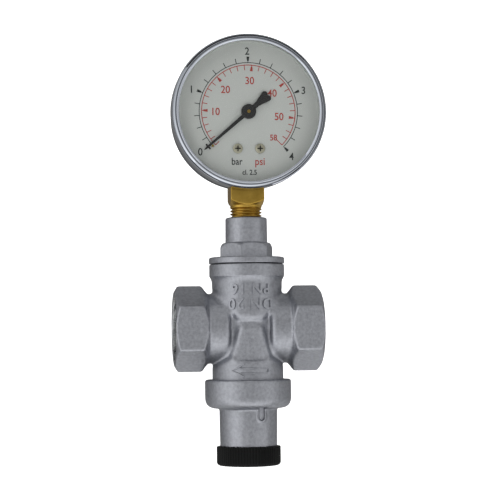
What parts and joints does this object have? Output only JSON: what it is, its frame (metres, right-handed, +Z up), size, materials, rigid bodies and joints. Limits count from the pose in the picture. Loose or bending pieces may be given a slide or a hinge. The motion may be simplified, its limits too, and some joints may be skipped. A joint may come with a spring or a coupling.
{
  "type": "pressure reducing valve",
  "caption": "In-line water pressure reducer: female-threaded hex ends, spring housing with black cap below, dial gauge on a brass stem above.",
  "frame": {"origin": "centre of the inlet port's mouth, on the run axis", "axes": "+X along the run, out of the inlet; +Z up the valve axis towards the gauge; the dial faces -Y"},
  "size_m": [0.0636, 0.0358, 0.1769],
  "materials": {
    "nickel_forging": "nickel-plated brass forging, satin",
    "nickel_turned": "nickel-plated turned brass, satin",
    "turned_brass": "machined",
    "stainless_steel": "machined",
    "spring_steel": "phosphated wire",
    "spring_bronze": "rolled phosphor bronze",
    "black_rubber": "matte nitrile",
    "grey_rubber": "matte",
    "fibre": "pressed fibre",
    "black_plastic": "fine satin moulding",
    "case_steel": "grey lacquered steel",
    "polished_chrome": "polished",
    "window_glass": "clear",
    "dial_white": "satin print on aluminium",
    "black_paint": "satin"
  },
  "bodies": {
    "valve": {"valve_body": "nickel_forging", "seat_ring": "stainless_steel", "seat_gasket": "fibre", "balance_seal": "black_rubber", "top_plug": "nickel_turned", "plug_gasket": "fibre", "spring_housing": "nickel_turned", "housing_gasket": "fibre", "regulating_spring": "spring_steel", "gauge_socket": "turned_brass", "gauge_seal": "fibre", "gauge_case": "case_steel", "gauge_bezel": "polished_chrome", "gauge_window": "window_glass", "window_gasket": "grey_rubber", "gauge_dial": "dial_white", "dial_posts": "turned_brass", "dial_screws": "stainless_steel", "stop_pin": "turned_brass", "movement_front_plate": "turned_brass", "movement_back_plate": "turned_brass", "movement_pillars": "turned_brass", "movement_screws": "stainless_steel", "hairspring": "spring_bronze", "bourdon_tube": "spring_bronze", "tube_end_piece": "turned_brass"},
    "piston_set": {"piston": "turned_brass", "piston_seal": "black_rubber", "shutter_washer": "stainless_steel", "shutter_disc": "black_rubber", "shutter_holder": "turned_brass", "shutter_nut": "stainless_steel"},
    "spring_plate": {"spring_plate": "stainless_steel"},
    "adjusting_screw": {"adjusting_screw": "turned_brass"},
    "cap": {"cap": "black_plastic"},
    "pointer": {"pointer": "black_paint", "pointer_shaft": "turned_brass"},
    "sector_gear": {"sector_gear": "turned_brass"},
    "link": {"link": "turned_brass", "link_pins": "stainless_steel"}
  },
  "joints": [
    {"name": "piston_travel", "type": "slide", "parent": "valve", "child": "piston_set", "axis": [0, 0, -1], "range_m": [0, 0.00295], "stiffness_N_per_m": 2000, "springref_m": -0.002, "deforming": ["regulating_spring"]},
    {"name": "adjuster_feed", "type": "slide", "parent": "valve", "child": "spring_plate", "axis": [0, 0, 1], "range_m": [-0.002, 0.003], "deforming": ["regulating_spring"]},
    {"name": "adjuster_turn", "type": "hinge", "parent": "spring_plate", "child": "adjusting_screw", "pos_m": [-0.0305, 0, -0.048], "axis": [0, 0, 1], "range_deg": [-480, 720]},
    {"name": "cap_pull", "type": "slide", "parent": "valve", "child": "cap", "axis": [0, 0, -1], "range_m": [0, 0.012]},
    {"name": "pointer_turn", "type": "hinge", "parent": "valve", "child": "pointer", "pos_m": [-0.0305, -0.014, 0.0887], "axis": [0, 1, 0], "range_deg": [0, 265.7], "stiffness_Nm_per_rad": 0.0004, "springref_deg": -28.65},
    {"name": "sector_turn", "type": "hinge", "parent": "valve", "child": "sector_gear", "pos_m": [-0.02286, -0.0065, 0.08106], "axis": [0, 1, 0], "range_deg": [-33.21, 0]},
    {"name": "link_turn", "type": "hinge", "parent": "sector_gear", "child": "link", "pos_m": [-0.01711, -0.0053, 0.07935], "axis": [0, 1, 0], "range_deg": [0, 33.21]}
  ],
  "couplings": [
    {"joint": "adjuster_turn", "follows": "adjuster_feed", "rad_per_m": 4188.8},
    {"joint": "sector_turn", "follows": "pointer_turn", "ratio": -0.125},
    {"joint": "link_turn", "follows": "pointer_turn", "ratio": 0.125}
  ]
}
